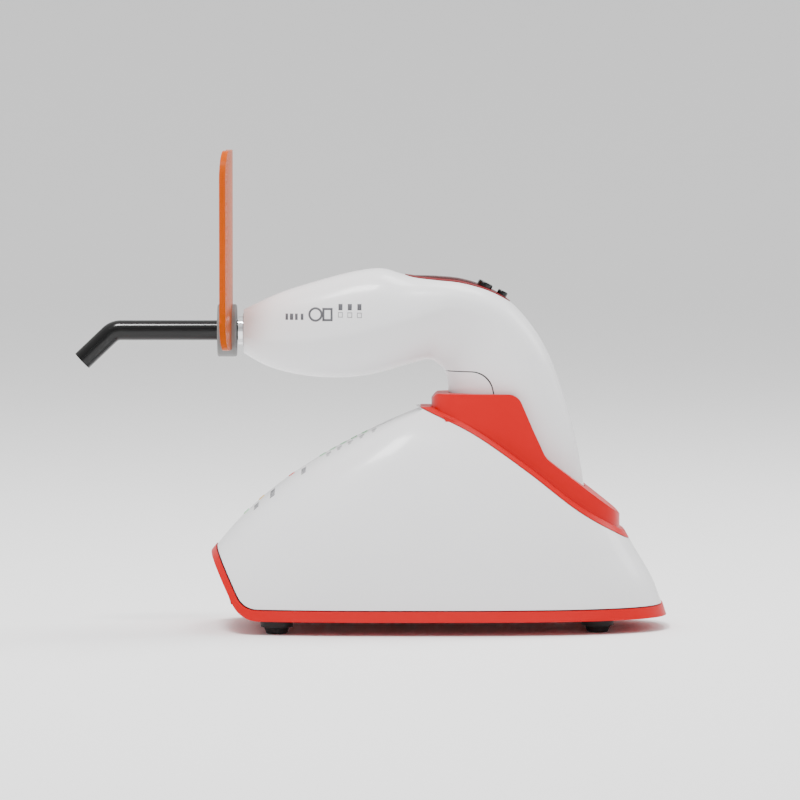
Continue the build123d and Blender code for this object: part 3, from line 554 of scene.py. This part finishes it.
TRIM_PROUD = 0.5
tray = skin("look_base_tray", base_rings(TRIM_PROUD), SKIN_ANGLE)
boolean(tray, front_prism("tool", TRAY_CORNER, 12.0), "INTERSECT")
boolean(tray, front_prism("tool", SEAM_CORNER, 9.0), "DIFFERENCE")
soften(tray, SKIN_ANGLE)
paint(tray, TRAY_RED)
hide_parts("base_tray")
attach(tray, "base")

# A dark filler under the shell and tray: painted shade that shows through the seam between them.
seam_core = skin("look_seam_core", base_rings(-CORE_DEPTH), SKIN_ANGLE)
boolean(seam_core, front_prism("tool", SEAM_CORNER, 9.0, 1.2), "INTERSECT")
boolean(seam_core, seat_prism("tool", -6.0), "DIFFERENCE")
boolean(seam_core, prism("tool", LINER, -LINER_HALF_WIDTH, LINER_HALF_WIDTH), "DIFFERENCE")
paint(seam_core, PAINTED_SEAM_SHADE)
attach(seam_core, "base")

# ---------------------------------------------------------------- cradle collar


def collar_rings():
    """Rings of the collar's wall in plan, leaning inwards towards the rim."""
    rings = []
    for z in np.linspace(30.0, 110.0, 24):
        spread = (COLLAR_TOP - z) * math.tan(COLLAR_DRAFT)
        ring = []
        for k in range(BASE_AROUND):
            x, y = superellipse(
                2 * math.pi * k / BASE_AROUND,
                COLLAR_X[1] - COLLAR_X[0],
                COLLAR_X[2] - COLLAR_X[1],
                COLLAR_HALF_WIDTH + spread,
                COLLAR_ROUNDNESS,
            )
            ring.append((x + COLLAR_X[1], y, z))
        rings.append(ring)
    return np.array(rings)


collar = skin("look_cradle_collar", collar_rings(), SKIN_ANGLE)
wall_line = (
    [(18.0, 60.0)]
    + rounded([(18.0, 88.0), (28.0, COLLAR_TOP), (45.0, COLLAR_TOP)], 2.0)
    + rounded([(45.0, COLLAR_TOP), (61.7, COLLAR_TOP), (68.0, 84.0)], 6.0)[1:]
    + rounded([(68.0, 84.0), (73.4, 72.2), (90.0, 59.4)], 9.0)[1:]
    + rounded([(90.0, 59.4), (103.6, 49.0), (112.0, 40.0)], 1.5)[1:]
    + [(112.0, 24.0), (18.0, 24.0)]
)
boolean(collar, prism("tool", wall_line, -60, 60), "INTERSECT")
boolean(collar, seat_prism("tool", 0.3), "INTERSECT")
flange = skin("tool_flange", base_rings(0.1), SKIN_ANGLE)
boolean(flange, seat_prism("tool", 0.3), "INTERSECT")
boolean(flange, seat_prism("tool", FLANGE), "DIFFERENCE")
boolean(collar, flange, "UNION")
liner = prism("tool_liner", LINER, -LINER_HALF_WIDTH, LINER_HALF_WIDTH)
boolean(liner, seat_prism("tool", 1.5), "DIFFERENCE")
boolean(collar, liner, "UNION")
pocket = skin("tool_pocket", handpiece_rings(0.6), SKIN_ANGLE)
boolean(collar, pocket, "DIFFERENCE")
soften(collar, SKIN_ANGLE)
paint(collar, COLLAR_RED)
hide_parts("cradle_collar")
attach(collar, "base")

# ---------------------------------------------------------------- printed marks, all generic


def bar(u, v, width, height):
    """A small rectangle as a grid of points: its middle, and its two sizes."""
    columns, rows = max(2, round(width / 0.6)), max(2, round(height / 0.6))
    points = [
        (u - width / 2 + width * i / columns, v - height / 2 + height * j / rows)
        for j in range(rows + 1)
        for i in range(columns + 1)
    ]
    faces = []
    for j in range(rows):
        for i in range(columns):
            k = j * (columns + 1) + i
            faces.append((k, k + 1, k + columns + 2, k + columns + 1))
    return points, faces


def hoop(u, v, inner, outer, count=28):
    """A flat ring."""
    points, faces = [], []
    for k in range(count):
        turn = 2 * math.pi * k / count
        for radius in (inner, outer):
            points.append((u + radius * math.cos(turn), v + radius * math.sin(turn)))
        j = (k + 1) % count
        faces.append((2 * k, 2 * k + 1, 2 * j + 1, 2 * j))
    return points, faces


def frame_mark(u, v, width, height, line=0.3):
    """The outline of a small rectangle."""
    return [
        bar(u, v - height / 2, width + line, line),
        bar(u, v + height / 2, width + line, line),
        bar(u - width / 2, v, line, height),
        bar(u + width / 2, v, line, height),
    ]


PRINT_LIFT = 0.07  # how far the ink stands off its surface


def print_on(name, target, body, shapes, place, towards, material):
    """Lays flat shapes on a surface: place gives a start point, and towards is the way onto it."""
    tree = BVHTree.FromObject(target, bpy.context.evaluated_depsgraph_get())
    way = Vector(towards)
    points, faces = [], []
    for shape_points, shape_faces in shapes:
        first = len(points)
        for u, v in shape_points:
            hit, _, _, _ = tree.ray_cast(Vector(place(u, v)) * MM, way)
            points.append(tuple((hit / MM) - way * PRINT_LIFT))
        faces += [tuple(first + k for k in face) for face in shape_faces]
    obj = mesh_object(name, points, faces)
    obj.modifiers.new("ink", "SOLIDIFY").thickness = 0.00004
    paint(obj, material)
    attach(obj, body)
    return obj


near_half = bpy.data.objects["look_housing_left"]
INWARDS, DOWNWARDS = (0, 1, 0), (0, 0, -1)


def side_start(u, v):
    """A start point for marks on the near side: u is x and v is z."""
    return (u, -60.0, v)


word = [bar(u, 131.0, width, 2.6) for u, width in ((-34.6, 1.1), (-32.6, 1.4), (-30.6, 1.1), (-28.2, 1.1))]
print_on("mark_word", near_half, "handpiece", word, side_start, INWARDS, PRINT_GREY)
badge = [hoop(-22.6, 132.0, 2.1, 3.0), *frame_mark(-17.6, 132.0, 3.4, 4.6, 0.9)]
print_on("mark_badge", near_half, "handpiece", badge, side_start, INWARDS, PRINT_GREY)
modes, mode_boxes = [], []
for number, u in enumerate((-12.2, -8.3, -4.3)):
    modes.append(bar(u, 135.1, 1.7, 2.6))
    mode_boxes += frame_mark(u, 131.9 - 0.1 * number, 1.7, 1.9)
print_on("mark_modes", near_half, "handpiece", modes, side_start, INWARDS, PRINT_GREY)
print_on("mark_mode_boxes", near_half, "handpiece", mode_boxes, side_start, INWARDS, PRINT_PALE)


def above_start(u, v):
    """A start point for marks seen from above: u is x and v is y."""
    return (u, v, 150.0)


captions = []
for u, v_low, v_high in ((-47.5, -16.0, -8.0), (-40.7, -18.5, -7.5), (-27.7, -18.0, -8.0)):
    count = round((v_high - v_low) / 1.9)
    for k in range(count):
        captions.append(bar(u, v_low + (k + 0.5) * (v_high - v_low) / count, 1.9, 1.15))
print_on("mark_captions", shell, "base", captions, above_start, DOWNWARDS, PRINT_GREY)
scale_marks = [bar(u, -9.5, 2.0, 3.6) for u in (-17.3, -12.7, -8.2, -3.4, 1.7)]
scale_marks += [bar(u - 0.2, -13.6, 1.2, 1.6) for u in (-17.3, -12.7, -8.2, -3.4, 1.7)]
print_on("mark_scale", shell, "base", scale_marks, above_start, DOWNWARDS, PRINT_PALE)

# ---------------------------------------------------------------- floor, light and camera

FLOOR_REACH, SWEEP_RADIUS, SWEEP_STEPS, FLOOR_AROUND = 3400.0, 1800.0, 24, 96
sweep_line = [(FLOOR_REACH * k / 4, 0.0) for k in range(1, 5)]
for k in range(1, SWEEP_STEPS + 1):
    turn = math.pi / 2 * k / SWEEP_STEPS
    sweep_line.append((FLOOR_REACH + SWEEP_RADIUS * math.sin(turn), SWEEP_RADIUS * (1 - math.cos(turn))))
floor_points = [(0.0, 0.0, 0.0)]
for radius, z in sweep_line:
    for k in range(FLOOR_AROUND):
        turn = 2 * math.pi * k / FLOOR_AROUND
        floor_points.append((radius * math.cos(turn), radius * math.sin(turn), z))
floor_faces = [(0, 1 + k, 1 + (k + 1) % FLOOR_AROUND) for k in range(FLOOR_AROUND)]
for j in range(len(sweep_line) - 1):
    for k in range(FLOOR_AROUND):
        near = 1 + j * FLOOR_AROUND
        far = near + FLOOR_AROUND
        after = (k + 1) % FLOOR_AROUND
        floor_faces.append((near + k, far + k, far + after, near + after))
floor = mesh_object("floor", floor_points, floor_faces, 60)
paint(floor, surface("floor_pale", (0.92, 0.92, 0.92), 0.6, grain=40, bump=0.0, vary=0.004))


def area_light(name, place, target, size, power):
    """A soft square studio light."""
    data = bpy.data.lights.new(name, "AREA")
    data.shape = "SQUARE"
    data.size = size
    data.energy = power
    obj = bpy.data.objects.new(name, data)
    bpy.context.scene.collection.objects.link(obj)
    obj.location = place
    obj.rotation_euler = (Vector(target) - Vector(place)).to_track_quat("-Z", "Y").to_euler()
    return obj


TARGET = (0.0126, 0.0, 0.0953)
area_light("key", (-0.30, -0.50, 1.5), TARGET, 0.40, 30)
area_light("top", (0.35, 0.45, 1.5), TARGET, 0.6, 14)
area_light("rear_rim", (1.2, 0.5, 0.8), TARGET, 0.6, 6)

world = bpy.data.worlds.new("studio")
world.use_nodes = True
sky = world.node_tree
where = sky.nodes.new("ShaderNodeTexCoord")
split_axes = sky.nodes.new("ShaderNodeSeparateXYZ")
sky.links.new(where.outputs["Generated"], split_axes.inputs["Vector"])
ramp = sky.nodes.new("ShaderNodeMapRange")
ramp.inputs["From Min"].default_value = -0.1
ramp.inputs["From Max"].default_value = 0.8
ramp.inputs["To Min"].default_value = 0.07
ramp.inputs["To Max"].default_value = 1.25
sky.links.new(split_axes.outputs["Z"], ramp.inputs["Value"])
sky.nodes["Background"].inputs["Color"].default_value = (1.0, 1.0, 1.0, 1)
sky.links.new(ramp.outputs["Result"], sky.nodes["Background"].inputs["Strength"])
bpy.context.scene.world = world

CAMERA_DISTANCE = 2.4
CAMERA_ELEVATION = math.radians(3.2)
FRAME_WIDTH = 0.336
camera_data = bpy.data.cameras.new("camera")
camera_data.sensor_width = 36.0
camera_data.lens = 36.0 * CAMERA_DISTANCE / FRAME_WIDTH
camera_data.clip_end = 20.0
camera = bpy.data.objects.new("camera", camera_data)
bpy.context.scene.collection.objects.link(camera)
camera.location = (
    TARGET[0],
    -CAMERA_DISTANCE * math.cos(CAMERA_ELEVATION),
    TARGET[2] + CAMERA_DISTANCE * math.sin(CAMERA_ELEVATION),
)
camera.rotation_euler = (Vector(TARGET) - camera.location).to_track_quat("-Z", "Y").to_euler()
bpy.context.scene.camera = camera

bpy.context.view_layer.update()
